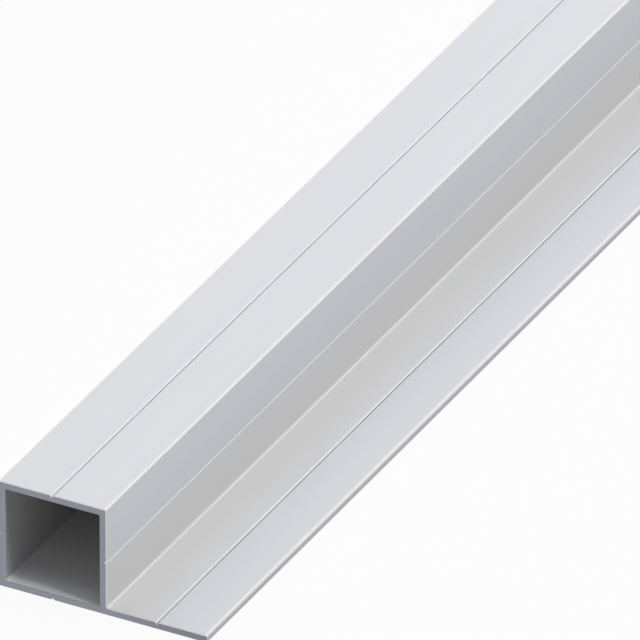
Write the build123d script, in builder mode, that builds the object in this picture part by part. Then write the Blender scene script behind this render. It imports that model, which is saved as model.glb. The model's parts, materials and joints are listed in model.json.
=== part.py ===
from build123d import *
import os

# One length of extruded aluminium framing tube, in millimetres. The section lies in the XZ plane and the
# length runs along Y. The tube and its flange rest on their common underside, and the origin is at the
# middle of that underside. The flange carries the tube's bottom wall on towards +X.

# Driving dimensions
STOCK_LENGTH = 609.6  # 24 in
TUBE_SIDE = 25.4  # 1 in, outside
TUBE_WALL = 1.5875  # 1/16 in
FLANGE_REACH = 23.8125  # 15/16 in, from the tube's outer wall to the flange's tip
FLANGE_THICKNESS = 1.5875  # 1/16 in

ARRIS_RADIUS = 0.3  # outer corners of the tube
FLANGE_TIP_RADIUS = 0.5  # both corners of the flange's tip
ROOT_RADIUS = 0.5  # inner corner between the tube's wall and the flange
BORE_CORNER_RADIUS = 0.4
END_BREAK = 0.1  # deburred edges of the two cut ends

DRILL_LINE_WIDTH = 0.8  # V-shaped lines that centre a drill on each face
DRILL_LINE_DEPTH = 0.4

# Places across the section
section_width = TUBE_SIDE + FLANGE_REACH
tube_left = -section_width / 2
tube_right = tube_left + TUBE_SIDE
tube_middle = tube_left + TUBE_SIDE / 2
flange_root = (tube_right, FLANGE_THICKNESS, 0)
flange_middle = tube_right + FLANGE_REACH / 2
bore_side = TUBE_SIDE - 2 * TUBE_WALL

# Each drill line runs along the middle of a face: its place on the face, and the turn in degrees that
# swings its mouth anticlockwise from straight up.
drill_lines = [
    (tube_middle, TUBE_SIDE, 0),
    (tube_left, TUBE_SIDE / 2, 90),
    (tube_middle, 0, 180),
    (tube_right, TUBE_SIDE / 2, 270),
    (flange_middle, FLANGE_THICKNESS, 0),
]


with BuildPart() as flanged_tube:
    with BuildSketch(Plane.XZ) as section:
        with Locations((tube_middle, TUBE_SIDE / 2)):
            RectangleRounded(TUBE_SIDE, TUBE_SIDE, ARRIS_RADIUS)
        with Locations((tube_middle, 0)):
            Rectangle(TUBE_SIDE / 2 + FLANGE_REACH, FLANGE_THICKNESS, align=Align.MIN)
        fillet(section.vertices().group_by(Axis.X)[-1], FLANGE_TIP_RADIUS)
        fillet(section.vertices().sort_by_distance(flange_root)[0], ROOT_RADIUS)
        with Locations((tube_middle, TUBE_SIDE / 2)):
            RectangleRounded(bore_side, bore_side, BORE_CORNER_RADIUS, mode=Mode.SUBTRACT)
        for across, up, turn in drill_lines:
            with Locations(Location((across, up, 0), (0, 0, turn))):
                Polygon(
                    (-DRILL_LINE_WIDTH / 2, 0),
                    (0, -DRILL_LINE_DEPTH),
                    (DRILL_LINE_WIDTH / 2, 0),
                    align=None,
                    mode=Mode.SUBTRACT,
                )
    extrude(amount=STOCK_LENGTH / 2, both=True)
    cut_ends = flanged_tube.faces().filter_by(Axis.Y)
    chamfer(cut_ends.edges(), END_BREAK)

flanged_tube.part.label = "flanged_tube"

os.makedirs("parts", exist_ok=True)
export_step(flanged_tube.part, "parts/flanged_tube.step")
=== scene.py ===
import json
import math

import bpy
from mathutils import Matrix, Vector


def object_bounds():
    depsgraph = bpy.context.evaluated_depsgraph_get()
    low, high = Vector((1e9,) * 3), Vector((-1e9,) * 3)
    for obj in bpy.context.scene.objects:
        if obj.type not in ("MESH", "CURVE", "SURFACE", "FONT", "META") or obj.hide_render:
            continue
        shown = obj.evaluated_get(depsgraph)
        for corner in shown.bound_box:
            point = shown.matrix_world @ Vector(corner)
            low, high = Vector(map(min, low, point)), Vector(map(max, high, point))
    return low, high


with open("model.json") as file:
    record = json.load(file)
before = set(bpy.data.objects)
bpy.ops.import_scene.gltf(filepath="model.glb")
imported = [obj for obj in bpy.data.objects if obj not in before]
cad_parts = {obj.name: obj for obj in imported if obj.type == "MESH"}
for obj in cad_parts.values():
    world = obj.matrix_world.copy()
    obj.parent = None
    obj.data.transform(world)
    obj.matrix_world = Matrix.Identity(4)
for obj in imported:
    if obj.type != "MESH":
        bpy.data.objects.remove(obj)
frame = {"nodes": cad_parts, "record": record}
cad_low, cad_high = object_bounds()
tube = frame["nodes"]["flanged_tube"]
mounts = {mount["name"]: Vector(mount["pos_m"]) for mount in frame["record"]["mounts"]}

MM = 0.001

# The part's own sizes and places, from the frame
TUBE_HALF = cad_high.z / 2
TUBE_MIDDLE = mounts["socket_front"]
TUBE_RIGHT = mounts["panel_stop"].x
WALL = mounts["flange_seat"].z
FLANGE_TIP = cad_high.x
FLANGE_MIDDLE = (TUBE_RIGHT + FLANGE_TIP) / 2
MIDDLE_Y = (cad_low.y + cad_high.y) / 2
HALF_LENGTH = (cad_high.y - cad_low.y) / 2

# Small sizes of the section that the frame doesn't state
DRILL_LINE_DEPTH = 0.4 * MM
ROOT_RADIUS = 0.5 * MM

# Camera: a very long lens, because the photograph has no perspective to speak of
VIEW_AZIMUTH = 27.83  # degrees from -Y towards +X
VIEW_ELEVATION = 31.04
AIM = Vector((-0.01546, -0.17896, 0.0))  # the point of the ground in the middle of the picture
CAMERA_DISTANCE = 6.0113
LENS_MM = 1600
SENSOR_MM = 36
NEAR_CLIP = 0.1
FAR_CLIP = 100

# The finish was fitted to the photograph together with the lamps. Some of its tones are painted highlights
# and painted shade, marked where they are set; what gives the corner between tube and flange its warmer tone
# isn't known.

# Metals, as linear colours
ANODISED = (0.79, 0.795, 0.83)
CORNER_TONE = (0.803, 0.804, 0.803)  # the skin in the corner between tube and flange, a little warmer
EDGE_HIGHLIGHT = (0.97, 0.97, 0.98)  # painted highlight, nearly white, on arrises, on the bands beside two of them and on the ends' outer chamfers
DEBURRED = (0.45, 0.46, 0.49)
BORE = (0.87, 0.86, 0.865)  # the bore's floor
BORE_MOUTH = (0.84, 0.852, 0.882)
SAWN_AND_SHADE = (0.308, 0.327, 0.375)  # bare sawn metal darkened with painted shade: much darker than bare aluminium, as the ends are in the photograph

SKIN_METALLIC = 0.5  # a fully metallic skin left a gradient that the photograph doesn't have
EDGE_METALLIC = 0.1  # arrises and drill lines: low, to come out as bright as in the photograph
ROOT_HIGHLIGHT = 0.75  # share of the painted edge highlight on the curve between tube and flange, compared with an arris

# Roughness, as one number or from low to high
SKIN_ROUGHNESS = (0.56, 0.64)
LINE_ROUGHNESS = 0.75
ARRIS_ROUGHNESS = 0.6
BORE_ROUGHNESS = 0.66
DEBURRED_ROUGHNESS = 0.35
SAWN_ROUGHNESS = (0.42, 0.58)

# Brightness of a place, as a share of the colour there
LINE_FLANK_HIGHLIGHT = 1.12  # painted highlight on the flanks of a drill line
UPPER_LINE_FLANK_HIGHLIGHT = 1.28  # painted highlight on the flanks of a drill line that looks up
LINE_ROOT_SHADE = 0.2  # painted shade at the root of a drill line that looks up
TIP_SHADE = 0.72  # painted shade on the end face of the flange
FLANGE_END_SHADE = 0.82  # sawn end, at the flange's tip
BORE_WALL_SHADE = 0.66  # painted shade on the bore's sides and top: these lamps would leave the visible side too bright

# Reaches: how far from a place a finish starts, and how far from it the finish is full

# From the root of a drill line
LINE_FLANKS = (1.5 * DRILL_LINE_DEPTH, 1.4 * DRILL_LINE_DEPTH)
# reach of the painted shade at the roots of the top's and the flange's drill lines
TOP_LINE_SHADE_REACH = (0.27 * MM, 0)
FLANGE_LINE_SHADE_REACH = (0.35 * MM, 0)

# From the root of the flange, where its top meets the tube's side
ROOT_CURVE = (ROOT_RADIUS, 0.6 * ROOT_RADIUS)
CORNER_TONE_REACH = (13 * MM, 5.85 * MM)

# From the tube's faces
OUTSIDE = (0.6 * WALL, 0.5 * WALL)
# band of painted highlight beside the tube's edge
TUBE_HIGHLIGHT_BAND = (0.8 * MM, 0.3 * MM)
TUBE_CORNER = (0.45 * MM, 0.4 * MM)

# From the flange's tip
# band of painted highlight beside the flange's tip
TIP_HIGHLIGHT_BAND = (1.1 * MM, 0.5 * MM)
TIP_CORNER = (0.65 * MM, 0.6 * MM)
TIP_FACE = (0.4 * MM, 0.05 * MM)

# From the tube's ends
BORE_MOUTH_REACH = (20 * MM, 0)

# How much of a normal lies along an axis: where a face starts to count, and where it counts in full
FLAT = (0.97, 0.999)
END = (0.85, 0.95)
DEBURRED_EDGE = (0.3, 0.5)
UPWARD = (0.2, 0.8)

# Texture: the size of features along X, Y and Z, their detail, and how far they move a colour
CLOUDS = (14 * MM, 45 * MM, 14 * MM)
CLOUD_DETAIL = 3.0
CLOUD_SPREAD = 0.012
BROAD_LINES = (2.2 * MM, 220 * MM, 2.2 * MM)
BROAD_LINE_DETAIL = 2.0
BROAD_LINE_SPREAD = 0.012
DIE_LINES = (0.25 * MM, 90 * MM, 0.25 * MM)
DIE_LINE_DETAIL = 3.0
DIE_LINE_SPREAD = 0.02
BORE_LINE_SPREAD = 0.03
GRAIN = (0.09 * MM, 0.09 * MM, 0.09 * MM)
GRAIN_DETAIL = 2.0
SAW_MARK_WIDTH = 0.35 * MM
SAW_MARK_DETAIL = 2.0
SAW_MARK_SPREAD = 0.12
BLADE_CENTRE = (-115 * MM, 165 * MM)  # across and up: where the saw that cut the ends turned

# Relief
RELIEF_DEPTH = 0.006 * MM
DIE_LINE_SHARE = 0.7  # of the skin's relief, and the rest is grain
SAW_MARK_RELIEF = 3.0  # times as deep as the skin's

# Light: at brightness 1, a lamp or the world itself would look plain white. The lamps' brightness was solved
# for, to match the photograph's tones with this finish, and then adjusted.
WORLD_BRIGHTNESS = 0.3
LAMP_DISTANCE = 8.0
LAMPS = [
    # name, compass bearing from +Y towards +X, elevation, apparent width in degrees, brightness
    ("key", 102, 58, 6, 108),
    ("above", 140, 78, 24, 3.4),
    ("behind_left", -12, 35, 30, 2.6),
    ("behind_left_low", -28, 12, 30, 1.85),
]

FLOOR_SIZE = 40.0
FLOOR_GAP = 0.02 * MM  # keeps the floor and the part's underside out of one plane
FLOOR_COLOUR = (0.6, 0.6, 0.6)  # as it lights the part
FLOOR_GLOW = 0.88  # share of plain white in the floor that the camera and the metal see


class Nodes:
    """Short ways to add and join the nodes of one tree."""

    def __init__(self, tree):
        self.tree = tree

    def add(self, kind, **settings):
        node = self.tree.nodes.new("ShaderNode" + kind)
        for name, value in settings.items():
            setattr(node, name, value)
        return node

    def feed(self, socket, value):
        if isinstance(value, bpy.types.NodeSocket):
            self.tree.links.new(value, socket)
        elif socket.type == "RGBA":
            socket.default_value = (*value, 1)
        else:
            socket.default_value = value

    def math(self, operation, *values):
        node = self.add("Math", operation=operation)
        for socket, value in zip(node.inputs, values):
            self.feed(socket, value)
        return node.outputs["Value"]

    def split(self, vector):
        node = self.add("SeparateXYZ")
        self.feed(node.inputs["Vector"], vector)
        return node.outputs["X"], node.outputs["Y"], node.outputs["Z"]

    def distance(self, x, z, to_x, to_z):
        """How far a place in the section is from a point of it."""
        across = self.math("POWER", self.math("SUBTRACT", x, to_x), 2.0)
        up = self.math("POWER", self.math("SUBTRACT", z, to_z), 2.0)
        return self.math("SQRT", self.math("ADD", across, up))

    def ramp(self, value, start, full):
        """Rises smoothly from 0 at start to 1 at full, and start may be the larger of the two."""
        node = self.add("MapRange", interpolation_type="SMOOTHSTEP")
        self.feed(node.inputs["Value"], value)
        self.feed(node.inputs["From Min"], start)
        self.feed(node.inputs["From Max"], full)
        return node.outputs["Result"]

    def near(self, value, edge, reach):
        """Like ramp, for a value that grows towards an edge, with the reach measured back from it."""
        start, full = reach
        return self.ramp(value, edge - start, edge - full)

    def lerp(self, factor, low, high):
        node = self.add("Mix", data_type="FLOAT")
        self.feed(node.inputs["Factor"], factor)
        self.feed(node.inputs[2], low)
        self.feed(node.inputs[3], high)
        return node.outputs[0]

    def blend(self, factor, low, high):
        """Colours mixed by a factor."""
        node = self.add("Mix", data_type="RGBA")
        self.feed(node.inputs["Factor"], factor)
        self.feed(node.inputs[6], low)
        self.feed(node.inputs[7], high)
        return node.outputs[2]

    def shade(self, colour, brightness):
        """A colour times a number."""
        node = self.add("VectorMath", operation="SCALE")
        self.feed(node.inputs["Vector"], colour)
        self.feed(node.inputs["Scale"], brightness)
        return node.outputs["Vector"]

    def vary(self, colour, value, spread):
        """A colour made brighter and darker by up to about the spread, by a noise value near 0.5."""
        change = self.math("SUBTRACT", value, 0.5)
        return self.shade(colour, self.math("MULTIPLY_ADD", change, 2 * spread, 1.0))

    def noise(self, place, feature, detail):
        """Noise around 0.5, with features of the given size in metres along X, Y and Z."""
        stretch = self.add("VectorMath", operation="DIVIDE")
        self.feed(stretch.inputs[0], place)
        self.feed(stretch.inputs[1], feature)
        node = self.add("TexNoise", noise_dimensions="3D")
        self.feed(node.inputs["Vector"], stretch.outputs["Vector"])
        self.feed(node.inputs["Scale"], 1.0)
        self.feed(node.inputs["Detail"], detail)
        return node.outputs["Fac"]

    def bump(self, height, depth):
        """A normal for a surface whose height goes from 0 to depth, in metres."""
        node = self.add("Bump")
        self.feed(node.inputs["Strength"], 1.0)
        self.feed(node.inputs["Distance"], depth)
        self.feed(node.inputs["Height"], height)
        return node.outputs["Normal"]

    def mix_shaders(self, factor, first, second):
        node = self.add("MixShader")
        self.feed(node.inputs["Fac"], factor)
        self.feed(node.inputs[1], first)
        self.feed(node.inputs[2], second)
        return node.outputs["Shader"]


def principled(name):
    material = bpy.data.materials.new(name)
    material.use_nodes = True
    return material, material.node_tree.nodes["Principled BSDF"]


class Zones:
    """Factors from 0 to 1 that tell the parts of the section, its ends and its bore apart."""

    def __init__(self, nodes, place, normal):
        self.nodes = nodes
        self.x, self.y, self.z = nodes.split(place)
        # A place's distances from the middle of the tube's square: the longer and the shorter one
        from_middle = [
            nodes.math("ABSOLUTE", nodes.math("SUBTRACT", self.x, TUBE_MIDDLE.x)),
            nodes.math("ABSOLUTE", nodes.math("SUBTRACT", self.z, TUBE_MIDDLE.z)),
        ]
        self.outwards = nodes.math("MAXIMUM", *from_middle)
        self.sideways = nodes.math("MINIMUM", *from_middle)
        self.from_root = nodes.distance(self.x, self.z, TUBE_RIGHT, WALL)
        self.find_faces(normal)
        self.find_places()
        self.find_drill_lines()
        self.find_edges()

    def find_faces(self, normal):
        """What faces along the length, what faces up, and what is flat."""
        nodes = self.nodes
        parts = nodes.split(normal)
        facing_x, facing_y, facing_z = [nodes.math("ABSOLUTE", part) for part in parts]
        most = nodes.math("MAXIMUM", nodes.math("MAXIMUM", facing_x, facing_y), facing_z)
        self.flat = nodes.ramp(most, *FLAT)
        self.sawn = nodes.ramp(facing_y, *END)
        self.deburred = nodes.math("SUBTRACT", nodes.ramp(facing_y, *DEBURRED_EDGE), self.sawn)
        self.upward = nodes.ramp(parts[2], *UPWARD)

    def find_places(self):
        """The outside, the bore's mouths, the flange, its tip, and the corner between it and the tube."""
        nodes = self.nodes
        self.outside = nodes.near(self.outwards, TUBE_HALF, OUTSIDE)
        from_middle_y = nodes.math("ABSOLUTE", nodes.math("SUBTRACT", self.y, MIDDLE_Y))
        self.mouth = nodes.ramp(nodes.math("SUBTRACT", HALF_LENGTH, from_middle_y), *BORE_MOUTH_REACH)
        self.on_flange = nodes.ramp(self.x, TUBE_RIGHT, FLANGE_TIP)
        self.tip = nodes.near(self.x, FLANGE_TIP, TIP_FACE)
        above = nodes.math("GREATER_THAN", self.z, WALL / 2)
        self.in_warm_corner = nodes.math("MULTIPLY", above, nodes.ramp(self.from_root, *CORNER_TONE_REACH))

    def find_drill_lines(self):
        """The drill lines, those that look up, and the painted shade at the roots of these."""
        nodes = self.nodes
        from_tube_line = nodes.distance(self.outwards, self.sideways, TUBE_HALF - DRILL_LINE_DEPTH, 0)
        from_top_line = nodes.distance(self.x, self.z, TUBE_MIDDLE.x, 2 * TUBE_HALF - DRILL_LINE_DEPTH)
        from_flange_line = nodes.distance(self.x, self.z, FLANGE_MIDDLE, WALL - DRILL_LINE_DEPTH)
        self.in_line = nodes.ramp(nodes.math("MINIMUM", from_tube_line, from_flange_line), *LINE_FLANKS)
        self.in_upper_line = nodes.ramp(nodes.math("MINIMUM", from_top_line, from_flange_line), *LINE_FLANKS)
        top_root_shade = nodes.ramp(from_top_line, *TOP_LINE_SHADE_REACH)
        flange_root_shade = nodes.ramp(from_flange_line, *FLANGE_LINE_SHADE_REACH)
        self.line_root_shade = nodes.math("MAXIMUM", top_root_shade, flange_root_shade)

    def find_edges(self):
        """The curves along the edges, and the bands on the flats beside two of them, which get a painted
        highlight.
        """
        nodes = self.nodes
        tube_corner = nodes.near(self.sideways, TUBE_HALF, TUBE_CORNER)
        corner = nodes.math("MAXIMUM", tube_corner, nodes.near(self.x, FLANGE_TIP, TIP_CORNER))
        # the curve between tube and flange gets part of the painted edge highlight
        root = nodes.math("MULTIPLY", nodes.ramp(self.from_root, *ROOT_CURVE), ROOT_HIGHLIGHT)
        corner = nodes.math("MAXIMUM", corner, root)
        self.arris = nodes.math("MULTIPLY", nodes.math("SUBTRACT", 1.0, self.flat), corner)

        # bands on the upward flats beside the tube's edge on the flange's side and beside the flange's tip,
        # which get a painted highlight
        panel_side = nodes.math("GREATER_THAN", self.x, TUBE_MIDDLE.x)
        tube_band = nodes.math("MULTIPLY", panel_side, nodes.near(self.sideways, TUBE_HALF, TUBE_HIGHLIGHT_BAND))
        near_edge = nodes.math("MAXIMUM", tube_band, nodes.near(self.x, FLANGE_TIP, TIP_HIGHLIGHT_BAND))
        self.highlight_band = nodes.math("MULTIPLY", near_edge, self.upward)


def saw_marks(nodes, zones):
    """The fine arcs that a circular saw leaves on a cut end, as a height from 0 to 1."""
    from_blade = nodes.distance(zones.x, zones.z, *BLADE_CENTRE)
    node = nodes.add("TexNoise", noise_dimensions="1D")
    nodes.feed(node.inputs["W"], nodes.math("DIVIDE", from_blade, SAW_MARK_WIDTH))
    nodes.feed(node.inputs["Scale"], 1.0)
    nodes.feed(node.inputs["Detail"], SAW_MARK_DETAIL)
    return node.outputs["Fac"]


def skin_colour(nodes, place, zones, die_lines):
    """The anodised outside, with its drill lines and their painted highlights and shade, painted highlights
    on arrises and the bands beside them, and painted shade on the flange's end face.
    """
    clouds = nodes.noise(place, CLOUDS, CLOUD_DETAIL)
    broad_lines = nodes.noise(place, BROAD_LINES, BROAD_LINE_DETAIL)
    colour = nodes.blend(zones.in_warm_corner, ANODISED, CORNER_TONE)
    colour = nodes.vary(colour, clouds, CLOUD_SPREAD)
    colour = nodes.vary(colour, broad_lines, BROAD_LINE_SPREAD)
    colour = nodes.vary(colour, die_lines, DIE_LINE_SPREAD)
    # painted highlight on the flanks of the drill lines
    flanks = nodes.lerp(zones.in_upper_line, LINE_FLANK_HIGHLIGHT, UPPER_LINE_FLANK_HIGHLIGHT)
    # painted shade at the roots of the drill lines that look up
    line = nodes.lerp(zones.line_root_shade, flanks, LINE_ROOT_SHADE)
    colour = nodes.shade(colour, nodes.lerp(zones.in_line, 1.0, line))
    # painted highlight on arrises and on the bands beside two of them
    colour = nodes.blend(nodes.math("MAXIMUM", zones.arris, zones.highlight_band), colour, EDGE_HIGHLIGHT)
    # painted shade on the flange's end face
    return nodes.shade(colour, nodes.lerp(zones.tip, 1.0, TIP_SHADE))


def bore_colour(nodes, zones, die_lines):
    colour = nodes.blend(zones.mouth, BORE, BORE_MOUTH)
    # painted shade on the bore's sides and top, with its floor left lighter
    colour = nodes.shade(colour, nodes.lerp(zones.upward, BORE_WALL_SHADE, 1.0))
    return nodes.vary(colour, die_lines, BORE_LINE_SPREAD)


def sawn_colour(nodes, zones, marks):
    # painted shade darkens the bare sawn metal of the ends
    colour = nodes.vary(SAWN_AND_SHADE, marks, SAW_MARK_SPREAD)
    return nodes.shade(colour, nodes.lerp(zones.on_flange, 1.0, FLANGE_END_SHADE))


def metal_roughness(nodes, zones, grain, marks):
    roughness = nodes.lerp(grain, *SKIN_ROUGHNESS)
    roughness = nodes.lerp(zones.in_line, roughness, LINE_ROUGHNESS)
    roughness = nodes.lerp(zones.arris, roughness, ARRIS_ROUGHNESS)
    roughness = nodes.lerp(zones.outside, BORE_ROUGHNESS, roughness)
    roughness = nodes.lerp(zones.deburred, roughness, DEBURRED_ROUGHNESS)
    return nodes.lerp(zones.sawn, roughness, nodes.lerp(marks, *SAWN_ROUGHNESS))


def metallic_share(nodes, zones):
    """Full on the sawn ends, and less on arrises and in drill lines than on the skin."""
    edges = nodes.math("MAXIMUM", zones.arris, zones.in_line)
    return nodes.lerp(zones.sawn, nodes.lerp(edges, SKIN_METALLIC, EDGE_METALLIC), 1.0)


def metal_normal(nodes, zones, die_lines, grain, marks):
    """Die lines and grain outside and in the bore, and saw marks on the ends."""
    lines = nodes.math("MULTIPLY", die_lines, DIE_LINE_SHARE)
    skin = nodes.math("ADD", lines, nodes.math("MULTIPLY", grain, 1 - DIE_LINE_SHARE))
    ends = nodes.math("MULTIPLY", marks, SAW_MARK_RELIEF)
    return nodes.bump(nodes.lerp(zones.sawn, skin, ends), RELIEF_DEPTH)


def anodised_aluminium():
    """Satin anodised outside, with painted shade on the bore's walls, sawn ends darkened by painted shade,
    and a painted highlight along the arrises.
    """
    material, shader = principled("anodised_aluminium")
    nodes = Nodes(material.node_tree)
    place = nodes.add("TexCoord").outputs["Object"]
    zones = Zones(nodes, place, nodes.add("NewGeometry").outputs["True Normal"])
    die_lines = nodes.noise(place, DIE_LINES, DIE_LINE_DETAIL)
    grain = nodes.noise(place, GRAIN, GRAIN_DETAIL)
    marks = saw_marks(nodes, zones)

    bore = bore_colour(nodes, zones, die_lines)
    colour = nodes.blend(zones.outside, bore, skin_colour(nodes, place, zones, die_lines))
    # the outer chamfers of the ends take the painted edge highlight
    colour = nodes.blend(zones.deburred, colour, nodes.blend(zones.outside, DEBURRED, EDGE_HIGHLIGHT))
    colour = nodes.blend(zones.sawn, colour, sawn_colour(nodes, zones, marks))

    nodes.feed(shader.inputs["Base Color"], colour)
    nodes.feed(shader.inputs["Metallic"], metallic_share(nodes, zones))
    nodes.feed(shader.inputs["Roughness"], metal_roughness(nodes, zones, grain, marks))
    nodes.feed(shader.inputs["Normal"], metal_normal(nodes, zones, die_lines, grain, marks))
    return material


def white_floor():
    """A diffuse floor that the camera and the metal see nearly as a white background, with its shadow.

    From beneath, the camera looks through it at the underside of the part.
    """
    material, shader = principled("floor")
    nodes = Nodes(material.node_tree)
    shader.inputs["Base Color"].default_value = (*FLOOR_COLOUR, 1)
    shader.inputs["Roughness"].default_value = 1.0
    shader.inputs["Specular IOR Level"].default_value = 0.0

    paper = nodes.add("BsdfDiffuse")
    paper.inputs["Color"].default_value = (1, 1, 1, 1)
    glow = nodes.add("Emission").outputs["Emission"]
    background = nodes.mix_shaders(FLOOR_GLOW, paper.outputs["BSDF"], glow)

    path = nodes.add("LightPath")
    seen = nodes.math("MAXIMUM", path.outputs["Is Camera Ray"], path.outputs["Is Glossy Ray"])
    seen = nodes.math("MAXIMUM", seen, path.outputs["Is Transmission Ray"])
    surface = nodes.mix_shaders(seen, shader.outputs["BSDF"], background)

    from_beneath = nodes.add("NewGeometry").outputs["Backfacing"]
    looked_through = nodes.math("MULTIPLY", from_beneath, path.outputs["Is Camera Ray"])
    surface = nodes.mix_shaders(looked_through, surface, nodes.add("BsdfTransparent").outputs["BSDF"])
    nodes.feed(material.node_tree.nodes["Material Output"].inputs["Surface"], surface)
    return material


def add_floor():
    bpy.ops.mesh.primitive_plane_add(size=FLOOR_SIZE, location=(0, 0, -FLOOR_GAP))
    floor = bpy.context.object
    floor.name = "floor"
    floor.data.materials.append(white_floor())


def direction(bearing, elevation):
    """A unit vector from a compass bearing, from +Y towards +X, and an elevation, in degrees."""
    bearing = math.radians(bearing)
    elevation = math.radians(elevation)
    level = math.cos(elevation)
    return Vector((math.sin(bearing) * level, math.cos(bearing) * level, math.sin(elevation)))


def aim(thing, target, bearing, elevation, distance):
    """Puts a camera or lamp at a distance from its target, and points it there."""
    outward = direction(bearing, elevation)
    thing.location = target + outward * distance
    thing.rotation_mode = "QUATERNION"
    thing.rotation_quaternion = (-outward).to_track_quat("-Z", "Y")


def link(name, data):
    thing = bpy.data.objects.new(name, data)
    bpy.context.collection.objects.link(thing)
    return thing


def add_camera():
    data = bpy.data.cameras.new("camera")
    data.lens = LENS_MM
    data.sensor_width = SENSOR_MM
    data.clip_start = NEAR_CLIP
    data.clip_end = FAR_CLIP
    camera = link("camera", data)
    aim(camera, AIM, 180 - VIEW_AZIMUTH, VIEW_ELEVATION, CAMERA_DISTANCE)
    bpy.context.scene.camera = camera


def add_lamp(name, bearing, elevation, apparent_width, brightness):
    """A round soft lamp of an even brightness, seen from the middle of the part at an apparent width."""
    width = 2 * LAMP_DISTANCE * math.tan(math.radians(apparent_width) / 2)
    data = bpy.data.lights.new(name, "AREA")
    data.shape = "DISK"
    data.size = width
    data.energy = math.pi * brightness * math.pi * width ** 2 / 4
    lamp = link(name, data)
    aim(lamp, Vector((0, 0, 0)), bearing, elevation, LAMP_DISTANCE)
    lamp.visible_camera = False


def light_world():
    world = bpy.data.worlds.new("studio")
    world.use_nodes = True
    background = world.node_tree.nodes["Background"]
    background.inputs["Color"].default_value = (1, 1, 1, 1)
    background.inputs["Strength"].default_value = WORLD_BRIGHTNESS
    bpy.context.scene.world = world


bpy.context.scene.view_settings.view_transform = "Standard"
tube.data.materials.clear()
tube.data.materials.append(anodised_aluminium())
add_camera()
add_floor()
light_world()
for lamp in LAMPS:
    add_lamp(*lamp)
